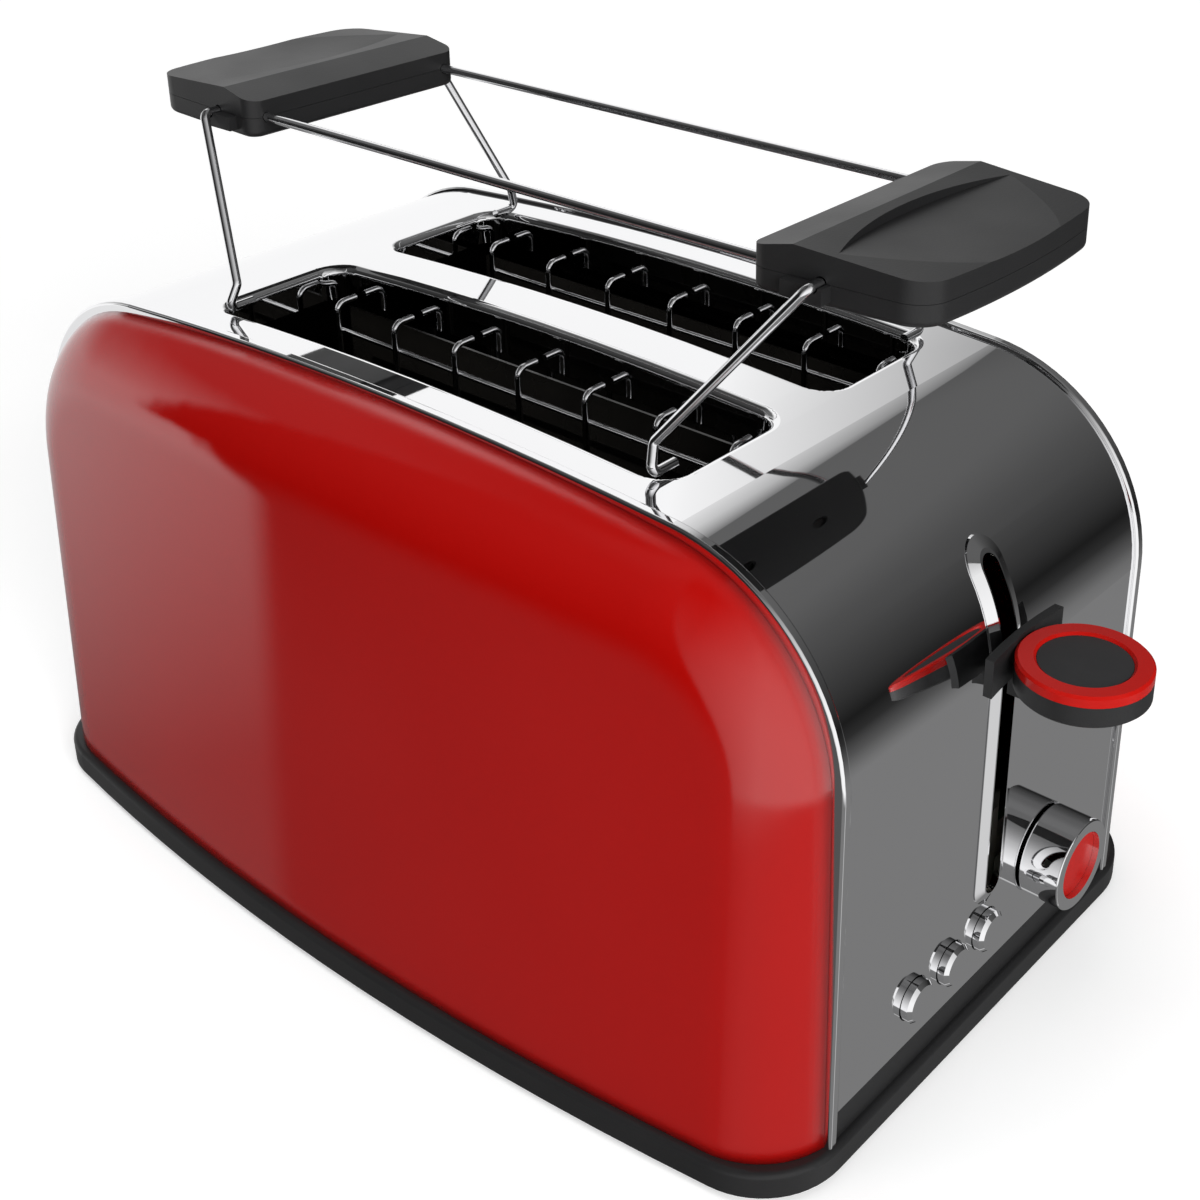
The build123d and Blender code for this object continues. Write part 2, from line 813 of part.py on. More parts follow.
# Lever paddle: round black pad, neck over the tongue and a curved wing plate near the end wall
pad_bottom = paddle_top - paddle_thickness
ring_bottom = paddle_top - ring_thickness
inlay_bottom = paddle_top - inlay_recess - inlay_thickness
wing_x = half_length + bezel_proud + wing_gap
wing_reach = wing_radius / 2
wing_middle = (paddle_top + pad_bottom) / 2
with BuildPart() as lever_paddle:
    rod_along_z(pad_bottom, ring_bottom, paddle_middle, 0, paddle_radius)
    chamfer(lever_paddle.faces().sort_by(Axis.Z)[0].edges(), pad_edge)
    with BuildSketch(Plane.XY.offset(wing_middle - wing_height / 2)) as wing:
        with Locations((wing_x + wing_radius, 0)):
            Circle(wing_radius)
            Circle(wing_radius - wing_thickness, mode=Mode.SUBTRACT)
        with Locations((wing_x + wing_reach / 2, 0)):
            Rectangle(wing_reach, 2 * wing_half_width, mode=Mode.INTERSECT)
    extrude(amount=wing_height)
    box_between(
        (wing_x + wing_thickness / 2, -neck_half_width, tongue_bottom - bracket_sheet),
        (paddle_middle - paddle_radius + neck_overlap, neck_half_width, ring_bottom),
    )
    ring_room = paddle_radius + seat_gap
    rod_along_z(ring_bottom, paddle_top + wing_height, paddle_middle, 0, ring_room, Mode.SUBTRACT)
    rod_along_z(pad_bottom, inlay_bottom, paddle_middle, 0, ring_inner_radius - seat_gap)
    box_between(
        (0, -tongue_half_width - seat, tongue_bottom - seat),
        (tongue_end + seat, tongue_half_width + seat, tongue_top + seat),
        mode=Mode.SUBTRACT,
    )
save(lever_paddle.part, "lever_paddle")

with BuildPart() as lever_ring:
    rod_along_z(ring_bottom + seat, paddle_top, paddle_middle, 0, paddle_radius)
    rod_along_z(0, body_top, paddle_middle, 0, ring_inner_radius, Mode.SUBTRACT)
    chamfer(lever_ring.faces().sort_by(Axis.Z)[-1].edges(), inlay_recess)
save(lever_ring.part, "lever_ring")

with BuildPart() as lever_inlay:
    inlay_radius = ring_inner_radius - seat_gap
    rod_along_z(inlay_bottom + seat, paddle_top - inlay_recess, paddle_middle, 0, inlay_radius)
save(lever_inlay.part, "lever_inlay")

# Controls behind the end wall: board, switch block, potentiometer and the frame that guides them
board_face = board_x + board_sheet
stem_end = frame_x - running_clearance
plunger = stem_end - button_travel - running_clearance
with BuildPart() as circuit_board:
    box_between(
        (board_x, -board_half_width, board_bottom), (board_face, board_half_width, board_low_top)
    )
    box_between(
        (board_x, board_lever_room, board_bottom), (board_face, board_half_width, board_high_top)
    )
save(circuit_board.part, "circuit_board")

post_side = board_half_width - post_inset
post_places = (
    (-post_side, board_bottom + post_inset),
    (post_side, board_bottom + post_inset),
    (post_side, board_high_top - post_inset),
)
with BuildPart() as control_frame:
    frame_face = frame_x + frame_sheet
    box_between(
        (frame_x, -board_half_width, deck_top + seat), (frame_face, board_half_width, board_low_top)
    )
    box_between(
        (frame_x, board_lever_room, deck_top + seat), (frame_face, board_half_width, board_high_top)
    )
    for y, z in post_places:
        rod_along_x(board_face + seat, frame_x, y, z, post_radius)
    for y in button_places:
        rod_along_x(
            frame_x - frame_sheet,
            frame_x + 2 * frame_sheet,
            y,
            button_height,
            button_stem_radius + pivot_clearance,
            Mode.SUBTRACT,
        )
    rod_along_x(
        frame_x - frame_sheet,
        frame_x + 2 * frame_sheet,
        knob_y,
        knob_z,
        knob_stem_radius + pivot_clearance,
        Mode.SUBTRACT,
    )
save(control_frame.part, "control_frame")

with BuildPart() as switch_block:
    switch_face = plunger - plunger_proud
    switch_top = button_height + switch_half_height
    box_between(
        (board_face + seat, button_places[0] - button_radius, button_height - switch_half_height),
        (switch_face, button_places[-1] + button_radius, switch_top),
    )
    for y in button_places:
        rod_along_x(board_face + seat, plunger, y, button_height, button_stem_radius)
save(switch_block.part, "switch_block")

pot_end = frame_x - seat
with BuildPart() as potentiometer:
    rod_along_x(board_face + seat, pot_end, knob_y, knob_z, potentiometer_radius)
    stem_socket = knob_stem_radius + pivot_clearance
    rod_along_x(board_face + board_sheet, frame_face, knob_y, knob_z, stem_socket, Mode.SUBTRACT)
save(potentiometer.part, "potentiometer")

# Push buttons: cap through the end wall, flange behind it, stem through the frame
cap_end = half_length + button_proud
flange_face = wall_inner - running_clearance
for i, y in enumerate(button_places):
    with BuildPart() as push_button:
        rod_along_x(flange_face, cap_end, y, button_height, button_radius)
        chamfer(push_button.faces().sort_by(Axis.X)[-1].edges(), button_edge)
        rod_along_x(flange_face - button_flange, flange_face, y, button_height, button_flange_radius)
        rod_along_x(stem_end, flange_face, y, button_height, button_stem_radius)
    save(push_button.part, f"button_{i + 1}")

# Browning knob: cap and stem, with an inlay sunk in its face
knob_start = half_length + knob_gap
knob_end = knob_start + knob_length
with BuildPart() as browning_knob:
    rod_along_x(knob_start, knob_end, knob_y, knob_z, knob_radius)
    for end in (0, -1):
        fillet(browning_knob.faces().sort_by(Axis.X)[end].edges(), knob_edge)
    rod_along_x(
        knob_end - knob_recess, knob_end + knob_recess, knob_y, knob_z, knob_face_radius, Mode.SUBTRACT
    )
    rod_along_x(
        board_face + board_sheet + running_clearance, knob_start, knob_y, knob_z, knob_stem_radius
    )
save(browning_knob.part, "browning_knob")

with BuildPart() as knob_inlay:
    inlay_face = knob_end - knob_inlay_depth
    rod_along_x(knob_end - knob_recess + seat, inlay_face, knob_y, knob_z, knob_face_radius - seat)
save(knob_inlay.part, "knob_inlay")

# Cord inlet: a bored gland clipped into the rear end wall
with BuildPart() as cord_gland:
    gland_seat = -half_length - seat
    rod_along_x(gland_seat - gland_flange, gland_seat, gland_y, gland_z, gland_flange_radius)
    fillet(cord_gland.faces().sort_by(Axis.X)[0].edges(), gland_edge)
    rod_along_x(gland_seat, -half_length + gland_length, gland_y, gland_z, gland_radius)
    rod_along_x(-past_ends, -shoulder_x, gland_y, gland_z, gland_bore, Mode.SUBTRACT)
save(cord_gland.part, "cord_gland")

# Crumb tray, drawn out through the rear end
tray_bottom = deck_top + tray_clearance
tray_face = -half_length + seat
with BuildPart() as crumb_tray:
    tray_top = tray_bottom + tray_wall_height
    box_between((tray_face, -tray_half_width, tray_bottom), (tray_end, tray_half_width, tray_top))
    box_between(
        (tray_face + tray_front, -tray_half_width + tray_sheet, tray_bottom + tray_sheet),
        (tray_end - tray_sheet, tray_half_width - tray_sheet, shell_bottom),
        mode=Mode.SUBTRACT,
    )
    box_between(
        (tray_face, -mouth_half_width + 2 * tray_clearance, tray_bottom),
        (tray_face + tray_front, mouth_half_width - 2 * tray_clearance, shell_bottom - tray_clearance),
    )
    pull_middle = (tray_bottom + shell_bottom) / 2
    box_between(
        (tray_face - pull_depth, -pull_half_width, pull_middle - pull_height / 2),
        (tray_face, pull_half_width, pull_middle + pull_height / 2),
    )
save(crumb_tray.part, "crumb_tray")

# Warming rack
groove = rack_wire / 2 + wire_clearance


def handle_place(side, inset):
    # Place along X, this far outward from a handle's inner edge
    return rack_middle + side * (rack_inner + inset)


def pivot_place(side):
    # Place along X of a leg's pivot in its handle
    return handle_place(side, right_pivot_inset if side > 0 else left_pivot_inset)


def handle_outline(side, height):
    inner = handle_place(side, 0)
    outer = handle_place(side, handle_length - handle_bulge)
    crest = handle_place(side, handle_length)
    with BuildSketch(Plane.XY.offset(height)) as outline:
        with BuildLine():
            Line((inner, -handle_half_width), (outer, -handle_outer_half_width))
            ThreePointArc(
                (outer, -handle_outer_half_width), (crest, 0), (outer, handle_outer_half_width)
            )
            Line((outer, handle_outer_half_width), (inner, handle_half_width))
            Line((inner, handle_half_width), (inner, -handle_half_width))
        make_face()
        by_x = outline.vertices().sort_by(Axis.X)
        fillet(by_x[:2] if side > 0 else by_x[2:], handle_inner_corner)
    with BuildSketch(Plane.XY.offset(height)) as rounded:
        add(outline.sketch)
        by_x = rounded.vertices().group_by(Axis.X)
        fillet(by_x[-1] if side > 0 else by_x[0], handle_outer_corner)
    return rounded.sketch


def cut_wire_grooves(side):
    # Grooves for the two rails and for the leg's pivot, half in each half of the handle
    ends = sorted((handle_place(side, rail_depth + wire_clearance), handle_place(side, -rail_depth)))
    for y in (-rail_y, rail_y):
        rod_along_x(ends[0], ends[1], y, seam_height, groove, Mode.SUBTRACT)
    rod_along_y(
        -2 * handle_half_width,
        2 * handle_half_width,
        pivot_place(side),
        seam_height,
        rack_wire / 2 + pivot_clearance,
        Mode.SUBTRACT,
    )


def handle_top(side):
    # Upper half of a handle: a ridge near its inner edge, and a shallow scoop with a curved end wall
    with BuildPart() as scoop:
        with Locations((handle_place(side, handle_length), 0, seam_height + scoop_floor + scoop_radius)):
            Cylinder(scoop_radius, 2 * handle_length, rotation=(0, 90, 0))
        with Locations((handle_place(side, scoop_offset + scoop_end_radius), 0, seam_height)):
            Cylinder(scoop_end_radius, scoop_radius, mode=Mode.INTERSECT)
    with BuildPart() as half:
        extrude(handle_outline(side, seam_height + seat), amount=2 * handle_ridge_rise)
        with BuildSketch(Plane.XZ) as section:
            with BuildLine():
                Polyline(
                    (handle_place(side, -seat), seam_height),
                    (handle_place(side, -seat), seam_height + handle_inner_rise),
                    (handle_place(side, ridge_offset), seam_height + handle_ridge_rise),
                    (handle_place(side, handle_length), seam_height + handle_outer_rise),
                    (handle_place(side, handle_length), seam_height),
                    (handle_place(side, -seat), seam_height),
                )
            make_face()
        extrude(amount=2 * handle_half_width, both=True, mode=Mode.INTERSECT)
        add(scoop.part, mode=Mode.SUBTRACT)
        cut_wire_grooves(side)
        for y in (-rack_screw_y, rack_screw_y):
            rod_along_z(
                seam_height,
                seam_height + handle_inner_rise - sheet,
                handle_place(side, rack_screw_inset),
                y,
                screw_radius + seat,
                Mode.SUBTRACT,
            )
    return half.part


def handle_bottom(side):
    low = seam_height - handle_below
    pivot = pivot_place(side)
    lug_ends = sorted((pivot - side * lug_inner, pivot + side * lug_outer))
    with BuildPart() as half:
        extrude(handle_outline(side, low), amount=handle_below - seat)
        fillet(half.faces().sort_by(Axis.Z)[0].edges(), handle_bottom_edge)
        for edge in (-1, 1):
            lug_root = handle_outer_half_width - lug_reach
            reach = sorted((edge * lug_root, edge * (handle_half_width + lug_reach)))
            box_between(
                (lug_ends[0], reach[0], low + handle_bottom_edge),
                (lug_ends[1], reach[1], seam_height - seat),
            )
        cut_wire_grooves(side)
        for y in (-rack_screw_y, rack_screw_y):
            x = handle_place(side, rack_screw_inset)
            rod_along_z(low, seam_height, x, y, screw_radius + seat_gap, Mode.SUBTRACT)
            rod_along_z(low, low + screw_sink, x, y, screw_head_radius + seat_gap, Mode.SUBTRACT)
    return half.part


for side, name in ((-1, "left"), (1, "right")):
    save(handle_top(side), f"{name}_handle_top")
    save(handle_bottom(side), f"{name}_handle_bottom")

for y, name in ((-rail_y, "rack_front_rail"), (rail_y, "rack_rear_rail")):
    with BuildPart() as rail:
        rod_along_x(handle_place(-1, rail_depth), handle_place(1, rail_depth), y, seam_height, rack_wire / 2)
    save(rail.part, name)

with BuildPart() as rack_screws:
    head_bottom = seam_height - handle_below + screw_sink - screw_head
    for side in (-1, 1):
        for y in (-rack_screw_y, rack_screw_y):
            x = handle_place(side, rack_screw_inset)
            rod_along_z(head_bottom, head_bottom + screw_head - seat, x, y, screw_head_radius)
            rod_along_z(
                head_bottom, seam_height + handle_inner_rise - sheet - seat_gap, x, y, screw_radius
            )
save(rack_screws.part, "rack_screws")


def rack_leg(side, foot_x_place):
    # One bent wire: foot, leg, pivot through the handle, leg, foot
    pivot = pivot_place(side)
    foot_y_place = slot_outer + foot_edge_overlap
    foot_z = crown_height(foot_x_place) + rack_wire / 2 + running_clearance
    exit_y = handle_half_width + lug_reach + leg_exit
    half = (
        (foot_x_place, foot_y_place - foot_stub, foot_z),
        (foot_x_place, foot_y_place, foot_z),
        (foot_x_place - side * foot_kick / 2, foot_y_place - foot_kick, foot_z + foot_height),
        (pivot, exit_y, seam_height),
    )
    front = [(x, -y, z) for x, y, z in half]
    rear = [(x, y, z) for x, y, z in reversed(half)]
    with BuildPart() as leg:
        with BuildLine() as route:
            FilletPolyline(*front, *rear, radius=leg_bend)
        with BuildSketch(Plane(origin=front[0], z_dir=(0, -1, 0))):
            Circle(rack_wire / 2)
        sweep(path=route.line)
    return leg.part


save(rack_leg(-1, left_foot_x), "left_leg")
save(rack_leg(1, right_foot_x), "right_leg")
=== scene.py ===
import math

import bpy
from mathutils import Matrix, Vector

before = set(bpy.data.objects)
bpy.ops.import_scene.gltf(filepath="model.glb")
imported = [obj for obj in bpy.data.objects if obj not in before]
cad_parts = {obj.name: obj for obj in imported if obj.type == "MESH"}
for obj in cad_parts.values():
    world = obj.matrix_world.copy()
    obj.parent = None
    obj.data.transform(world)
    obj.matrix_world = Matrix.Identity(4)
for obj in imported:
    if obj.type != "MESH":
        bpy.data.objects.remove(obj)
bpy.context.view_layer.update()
print("frame loaded:", len(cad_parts), "CAD nodes")


# Shader maths

class Val:  # a value socket that can be added, multiplied and so on
    def __init__(self, finish, socket):
        self.finish = finish
        self.socket = socket

    def maths(self, operation, first, second):
        return self.finish.node("ShaderNodeMath", {"operation": operation}, {0: first, 1: second})

    def __add__(self, other):
        return self.maths("ADD", self, other)

    def __radd__(self, other):
        return self.maths("ADD", other, self)

    def __sub__(self, other):
        return self.maths("SUBTRACT", self, other)

    def __rsub__(self, other):
        return self.maths("SUBTRACT", other, self)

    def __mul__(self, other):
        return self.maths("MULTIPLY", self, other)

    def __rmul__(self, other):
        return self.maths("MULTIPLY", other, self)

    def __truediv__(self, other):
        return self.maths("DIVIDE", self, other)

    def __rtruediv__(self, other):
        return self.maths("DIVIDE", other, self)


class Finish:  # one node tree, built up by node()
    def __init__(self, name, tree=None):
        if tree is None:
            self.material = bpy.data.materials.new(name)
            self.material.use_nodes = True
            tree = self.material.node_tree
        self.tree = tree
        self.tree.nodes.clear()

    def node(self, kind, settings={}, inputs={}, out=0):
        made = self.tree.nodes.new(kind)
        for key, value in settings.items():
            if key == "stops":
                self.setStops(made.color_ramp, value)
            else:
                setattr(made, key, value)
        for key, value in inputs.items():
            if isinstance(value, Val):
                self.tree.links.new(value.socket, made.inputs[key])
            else:
                made.inputs[key].default_value = value
        return Val(self, made.outputs[out]) if made.outputs else made

    def setStops(self, ramp, stops):
        while len(ramp.elements) < len(stops):
            ramp.elements.new(0.5)
        for element, (position, colour) in zip(ramp.elements, stops):
            element.position = position
            element.color = colour

    def place(self, scale=(1, 1, 1)):  # Object coordinates, stretched
        spot = self.node("ShaderNodeTexCoord", out=3)
        return self.node("ShaderNodeMapping", {}, {"Vector": spot, "Scale": scale})

    def noise(self, size, scale=(1, 1, 1), detail=3.0, roughness=0.5):  # size in metres
        return self.node(
            "ShaderNodeTexNoise",
            {},
            {"Vector": self.place(scale), "Scale": 1 / size, "Detail": detail, "Roughness": roughness},
        )

    def band(self, value, low, high, start=0.0, end=1.0):  # start at low to end at high, held outside
        return self.node(
            "ShaderNodeMapRange",
            {"clamp": True},
            {"Value": value, "From Min": low, "From Max": high, "To Min": start, "To Max": end},
        )

    def blend(self, factor, first, second):  # between two colours
        return self.node(
            "ShaderNodeMix",
            {"data_type": "RGBA"},
            {"Factor": factor, 6: first, 7: second},
            out=2,
        )

    def bump(self, height, depth, ease=None):  # in metres; ease is a radius to even the surface over
        inputs = {"Height": height, "Distance": depth}
        if ease:
            inputs["Normal"] = self.node("ShaderNodeBevel", {"samples": 8}, {"Radius": ease})
        return self.node("ShaderNodeBump", {}, inputs)

    def surface(self, inputs):
        shader = self.node("ShaderNodeBsdfPrincipled", {}, inputs)
        self.node("ShaderNodeOutputMaterial", {}, {"Surface": shader})
        return self.material


def grey(level):
    return (level, level, level, 1.0)


# Finishes

def polishedChrome(name, look):
    made = Finish(name)
    smudge = made.noise(look["smudgeSize"], detail=4.0)
    fine = made.noise(look["fineSize"], detail=2.0)
    return made.surface({
        "Base Color": made.blend(smudge, look["colour"], look["tint"]),
        "Metallic": 1.0,
        "Roughness": made.band(smudge, 0.35, 0.75, look["gloss"], look["dull"]),
        "Normal": made.bump(fine, look["ripple"]),
    })


def redEnamelFinish(look):
    made = Finish("redEnamel")
    mottle = made.noise(look["mottleSize"], detail=3.0)
    peel = made.noise(look["peelSize"], detail=1.0)
    return made.surface({
        "Base Color": made.blend(mottle, look["colour"], look["tint"]),
        "Roughness": made.band(mottle, 0.3, 0.7, look["gloss"], look["dull"]),
        "IOR": look["ior"],
        "Normal": made.bump(peel, look["peelDepth"], look["ease"]),
    })


def mouldedPlastic(name, look):
    made = Finish(name)
    grain = made.noise(look["grainSize"], detail=2.0, roughness=0.6)
    cloud = made.noise(look["cloudSize"], detail=3.0)
    return made.surface({
        "Base Color": made.blend(cloud, look["colour"], look["tint"]),
        "Roughness": made.band(cloud, 0.3, 0.7, look["gloss"], look["dull"]),
        "Specular IOR Level": look.get("shine", 0.5),
        "Normal": made.bump(grain, look["grainDepth"]),
    })


def sheetMetal(name, look):
    made = Finish(name)
    brush = made.noise(look["brushSize"], look["brushStretch"], detail=4.0)
    cloud = made.noise(look["cloudSize"], detail=4.0)
    return made.surface({
        "Base Color": made.blend(cloud, look["colour"], look["tint"]),
        "Metallic": 1.0,
        "Roughness": made.band(brush, 0.3, 0.7, look["gloss"], look["dull"]),
        "Normal": made.bump(brush, look["brushDepth"]),
    })


def micaFinish(look):
    made = Finish("mica")
    flake = made.node(
        "ShaderNodeTexVoronoi",
        {},
        {"Vector": made.place(look["flakeStretch"]), "Scale": 1 / look["flakeSize"]},
    )
    cloud = made.noise(look["cloudSize"], detail=5.0)
    return made.surface({
        "Base Color": made.blend(cloud, look["colour"], look["tint"]),
        "Roughness": made.band(flake, 0.0, 0.8, look["gloss"], look["dull"]),
        "Normal": made.bump(flake, look["flakeDepth"]),
    })


chromeLook = {
    "colour": (0.93, 0.93, 0.94, 1), "tint": (0.90, 0.90, 0.91, 1), "gloss": 0.02, "dull": 0.045,
    "smudgeSize": 0.06, "fineSize": 0.02, "ripple": 0.000004,
}
wireLook = {
    "colour": (0.90, 0.90, 0.91, 1), "tint": (0.82, 0.82, 0.84, 1), "gloss": 0.07, "dull": 0.14,
    "smudgeSize": 0.012, "fineSize": 0.003, "ripple": 0.00001,
}
enamelLook = {
    "colour": (0.34, 0.0020, 0.0011, 1), "tint": (0.37, 0.0026, 0.0015, 1), "gloss": 0.05, "dull": 0.08,
    "mottleSize": 0.05, "peelSize": 0.004, "peelDepth": 0.0000005, "ease": 0.006, "ior": 1.75,
}
blackLook = {
    "colour": (0.013, 0.013, 0.0135, 1), "tint": (0.017, 0.017, 0.0175, 1), "gloss": 0.40, "dull": 0.48,
    "shine": 0.38, "grainSize": 0.0006, "grainDepth": 0.00003, "cloudSize": 0.03,
}
inlayLook = {
    "colour": (0.018, 0.018, 0.019, 1), "tint": (0.024, 0.024, 0.025, 1), "gloss": 0.50, "dull": 0.60,
    "grainSize": 0.0004, "grainDepth": 0.00003, "cloudSize": 0.01,
}
redPlasticLook = {
    "colour": (0.40, 0.005, 0.003, 1), "tint": (0.45, 0.007, 0.004, 1), "gloss": 0.16, "dull": 0.24,
    "shine": 0.18, "grainSize": 0.002, "grainDepth": 0.00001, "cloudSize": 0.01,
}
rubberLook = {
    "colour": (0.022, 0.022, 0.022, 1), "tint": (0.035, 0.034, 0.033, 1), "gloss": 0.75, "dull": 0.9,
    "grainSize": 0.0008, "grainDepth": 0.00006, "cloudSize": 0.008,
}
palePlasticLook = {
    "colour": (0.60, 0.57, 0.50, 1), "tint": (0.66, 0.63, 0.56, 1), "gloss": 0.40, "dull": 0.5,
    "grainSize": 0.0008, "grainDepth": 0.00003, "cloudSize": 0.02,
}
boardLook = {
    "colour": (0.02, 0.11, 0.035, 1), "tint": (0.03, 0.16, 0.05, 1), "gloss": 0.30, "dull": 0.45,
    "grainSize": 0.0012, "grainDepth": 0.00004, "cloudSize": 0.006,
}
steelLook = {
    "colour": (0.20, 0.20, 0.205, 1), "tint": (0.14, 0.14, 0.145, 1), "gloss": 0.22, "dull": 0.34,
    "brushSize": 0.004, "brushStretch": (1, 1, 12), "brushDepth": 0.00002, "cloudSize": 0.03,
}
slotShadeLook = {  # sheet inside the slots, painted near black: painted shade of the slots
    "colour": (0.045, 0.044, 0.043, 1), "tint": (0.025, 0.024, 0.023, 1), "gloss": 0.22, "dull": 0.34,
    "brushSize": 0.004, "brushStretch": (1, 1, 12), "brushDepth": 0.00002, "cloudSize": 0.03,
}
ribbonLook = {
    "colour": (0.16, 0.15, 0.14, 1), "tint": (0.09, 0.085, 0.08, 1), "gloss": 0.30, "dull": 0.45,
    "brushSize": 0.003, "brushStretch": (1, 1, 8), "brushDepth": 0.00002, "cloudSize": 0.006,
}
copperLook = {
    "colour": (0.70, 0.32, 0.17, 1), "tint": (0.55, 0.22, 0.10, 1), "gloss": 0.25, "dull": 0.35,
    "brushSize": 0.0008, "brushStretch": (1, 1, 20), "brushDepth": 0.0001, "cloudSize": 0.004,
}
micaLook = {
    "colour": (0.014, 0.013, 0.012, 1), "tint": (0.024, 0.022, 0.019, 1), "gloss": 0.16, "dull": 0.34,
    "flakeSize": 0.012, "flakeStretch": (1, 1, 1), "flakeDepth": 0.00005, "cloudSize": 0.02,
}

finishOf = {
    "chrome": polishedChrome("chrome", chromeLook),
    "red_enamel": redEnamelFinish(enamelLook),
    "black_plastic": mouldedPlastic("blackPlastic", blackLook),
    "dark_inlay": mouldedPlastic("darkInlay", inlayLook),
    "red_plastic": mouldedPlastic("redPlastic", redPlasticLook),
    "foot_rubber": mouldedPlastic("footRubber", rubberLook),
    "bright_wire": polishedChrome("brightWire", wireLook),
    "plain_steel": sheetMetal("plainSteel", steelLook),
    "mica": micaFinish(micaLook),
    "heater_ribbon": sheetMetal("heaterRibbon", ribbonLook),
    "pale_plastic": mouldedPlastic("palePlastic", palePlasticLook),
    "board_green": mouldedPlastic("boardGreen", boardLook),
    "copper_winding": sheetMetal("copperWinding", copperLook),
}
# painted shade: the parts inside the slots get a near-black steel for the shade that falls in them
slotShadeSteel = sheetMetal("slotShadeSteel", slotShadeLook)
slotShadeParts = ("chassis_", "side_liner_", "bread_lift_", "rack_screws")
for name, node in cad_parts.items():
    for slot in node.material_slots:
        slot.material = finishOf[slot.material.name.split(".")[0]]
        if name.startswith(slotShadeParts):
            slot.material = slotShadeSteel
print("finishes on", len(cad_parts), "CAD nodes")


# Stage

stageLook = {
    "floorSize": 8.0, "floorColour": grey(0.80), "floorLift": (0.34, 0.75), "liftReach": (0.25, 1.6),
    "roomLight": 0.27,  # what the walls give to matt surfaces
}
wallLook = {  # the room that bright metal mirrors: levels by height in degrees, ends by angle round Z
    "dark": (
        (-90, 0.20), (-30, 0.20), (-27, 0.17), (-21, 0.09), (-14, 0.027), (-8, 0.012), (0, 0.03),
        (13, 0.055), (26, 0.082), (36, 0.112), (46, 0.12), (60, 0.16), (90, 0.16),
    ),
    "front": (
        (-90, 0.18), (-34, 0.20), (-31, 1.0), (0, 1.0), (20, 0.85), (40, 0.50), (62, 0.14), (90, 0.14),
    ),
    "back": ((-90, 0.20), (-32, 0.20), (-22, 0.80), (-15, 1.0), (45, 1.0), (65, 0.12), (90, 0.12)),
    "frontEnds": (266.0, 378.0), "frontFade": (262.0, 305.0, 0.20), "frontSlant": 0.5,
    "frontLit": (30.0, 31.0),  # no fade at the control end
    "backEnds": (112.5, 209.0), "backFade": (112.5, 127.0, 0.18), "backEdge": 2.0,
    "backFoot": (-6.0, -4.0, 5.0),  # its foot starts this much further round
    "cornerEnds": (180.0, 268.0, 0.45),  # the front left corner is darker near the floor
    "backHigh": (4.0, 30.0, 0.14), "backHighFrom": (155.0, 170.0),  # its far part dims upwards
    "paleFloor": (12.0, 45.0, 0.65), "paleFades": (10.0, 20.0),  # brighter floor off the control end
    "paleHeights": (-33.0, -29.0),
}


def sweepMask(made, angle, start, end, fade=0.5, onset=0.3):  # 1 between two angles in degrees
    return made.band(angle, start, start + onset) * made.band(angle, end, end + fade, 1.0, 0.0)


def turnAngle(made, x, y):  # 0 to 360 degrees round Z, from +X
    turn = made.node("ShaderNodeMath", {"operation": "ARCTAN2"}, {0: y, 1: x}) * math.degrees(1)
    below = made.node("ShaderNodeMath", {"operation": "LESS_THAN"}, {0: turn, 1: 0.0})
    return turn + below * 360.0


def splitAxes(made, vector):
    return [made.node("ShaderNodeSeparateXYZ", {}, {0: vector}, out=i) for i in range(3)]


def byHeight(made, rise, levels):  # level at each height, in a straight line between
    stops = [((height + 90) / 180, grey(level)) for height, level in levels]
    return made.node("ShaderNodeValToRGB", {"stops": stops}, {"Fac": (rise + 90.0) / 180.0})


def makeFloor(look):
    bpy.ops.object.select_all(action="DESELECT")
    bpy.ops.mesh.primitive_plane_add(size=look["floorSize"], location=(0, 0, 0))
    floor = bpy.context.object
    floor.name = "floor"
    floor.visible_glossy = False
    made = Finish("floorPaper")
    seen = made.node("ShaderNodeLightPath", out=0)
    x, y = splitAxes(made, made.node("ShaderNodeTexCoord", out=3))[:2]
    radius = made.node("ShaderNodeMath", {"operation": "SQRT"}, {0: x * x + y * y})
    glow = seen * made.band(radius, *look["liftReach"], *look["floorLift"])  # whiter away from the part
    paper = made.node("ShaderNodeBsdfDiffuse", {}, {"Color": look["floorColour"]})
    lift = made.node("ShaderNodeEmission", {}, {"Color": grey(1.0), "Strength": glow})
    lit = made.node("ShaderNodeAddShader", {}, {0: paper, 1: lift})
    made.node("ShaderNodeOutputMaterial", {}, {"Surface": lit})
    floor.data.materials.append(made.material)


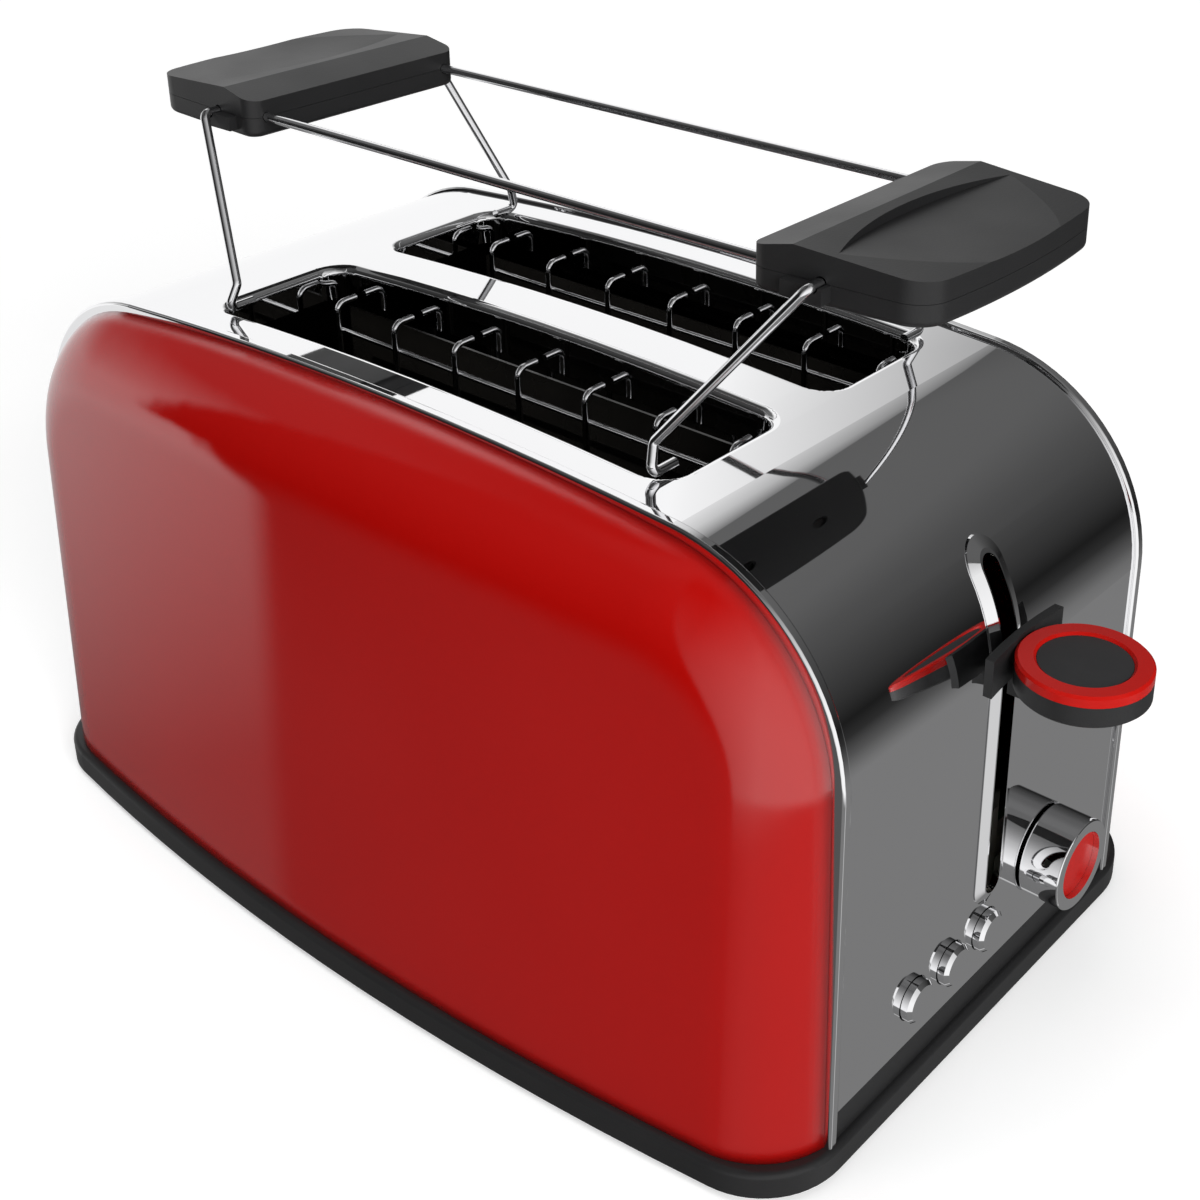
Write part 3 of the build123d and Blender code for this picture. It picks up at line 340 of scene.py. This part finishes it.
def makeRoom(look, walls):
    world = bpy.data.worlds.new("studio")
    bpy.context.scene.world = world
    world.use_nodes = True
    made = Finish("studio", world.node_tree)
    seen = made.node("ShaderNodeLightPath", out=0)
    mirrored = made.node("ShaderNodeLightPath", out=3)
    x, y, z = splitAxes(made, made.node("ShaderNodeTexCoord", out=0))
    angle = turnAngle(made, x, y)
    rise = made.node("ShaderNodeMath", {"operation": "ARCSINE"}, {0: z}) * math.degrees(1)
    level = byHeight(made, rise, walls["dark"])
    cornerStart, cornerEnd, cornerLevel = walls["cornerEnds"]
    level = level * (1.0 - sweepMask(made, angle, cornerStart, cornerEnd) * (1.0 - cornerLevel))

    start, end, pale = walls["paleFloor"]
    fadeIn, fadeOut = walls["paleFades"]
    nearEnd = made.band(angle, start, start + fadeIn) * made.band(angle, end - fadeOut, end, 1.0, 0.0)
    paleSpot = nearEnd * made.band(rise, *walls["paleHeights"], 1.0, 0.0)
    level = level + paleSpot * (pale - level)

    foot = made.band(rise, *walls["backFoot"], 0.0)
    back = sweepMask(made, angle - foot, *walls["backEnds"], walls["backEdge"])
    high = made.band(angle, *walls["backHighFrom"]) * made.band(rise, *walls["backHigh"][:2])
    backLevel = byHeight(made, rise, walls["back"]) * (1.0 - high * (1.0 - walls["backHigh"][2]))
    rampStart, rampEnd, rampLevel = walls["backFade"]
    backLevel = backLevel * made.band(angle, rampStart, rampEnd, rampLevel, 1.0)
    level = level + back * (backLevel - level)

    frontStart, frontEnd = walls["frontEnds"]
    front = sweepMask(made, angle, frontStart, 361.0) + sweepMask(made, angle, -1.0, frontEnd - 360)
    fadeStart, fadeEnd, fadeLevel = walls["frontFade"]
    upto = made.band(angle - rise * walls["frontSlant"], fadeStart, fadeEnd, fadeLevel, 1.0)
    upto = upto + made.band(angle, *walls["frontLit"], 1.0, 0.0) * (1.0 - upto)
    frontLevel = byHeight(made, rise, walls["front"]) * upto
    level = level + front * (1.0 - paleSpot) * (frontLevel - level)

    strength = look["roomLight"] + mirrored * (level - look["roomLight"])
    strength = strength + seen * (1.0 - strength)
    sky = made.node("ShaderNodeBackground", {}, {"Color": grey(1.0), "Strength": strength})
    made.node("ShaderNodeOutputWorld", {}, {"Surface": sky})


lampLook = {
    "top": {"place": (-0.25, -0.15, 1.30), "aim": (0, 0, 0.08), "size": (1.0, 0.9), "power": 8.0},
    "side": {"place": (1.25, -0.60, 0.70), "aim": (0, 0, 0.08), "size": (0.8, 0.7), "power": 20.0},
}
cameraLook = {
    "place": (0.30994, -0.31533, 0.33529), "tilt": 64.43, "turn": 39.62, "lens": 55.33,
    "shift": (-0.0833, -0.15),
}


def makeLamp(name, look):
    data = bpy.data.lights.new(name, "AREA")
    data.shape = "RECTANGLE"
    data.size, data.size_y = look["size"]
    data.energy = look["power"]
    lamp = bpy.data.objects.new(name, data)
    bpy.context.collection.objects.link(lamp)
    lamp.location = look["place"]
    away = Vector(look["aim"]) - Vector(look["place"])
    lamp.rotation_euler = away.to_track_quat("-Z", "Y").to_euler()
    lamp.visible_camera = False
    lamp.visible_glossy = False


def makeCamera(look):
    data = bpy.data.cameras.new("camera")
    camera = bpy.data.objects.new("camera", data)
    bpy.context.collection.objects.link(camera)
    camera.location = look["place"]
    camera.rotation_euler = (math.radians(look["tilt"]), 0, math.radians(look["turn"]))
    data.lens = look["lens"]
    data.sensor_width = 36.0
    data.shift_x, data.shift_y = look["shift"]
    data.clip_start = 0.01
    bpy.context.scene.camera = camera


makeFloor(stageLook)
makeRoom(stageLook, wallLook)
for lampName, look in lampLook.items():
    makeLamp(lampName, look)
makeCamera(cameraLook)
bpy.context.scene.view_settings.view_transform = "Standard"
print("stage, lamps and camera made")
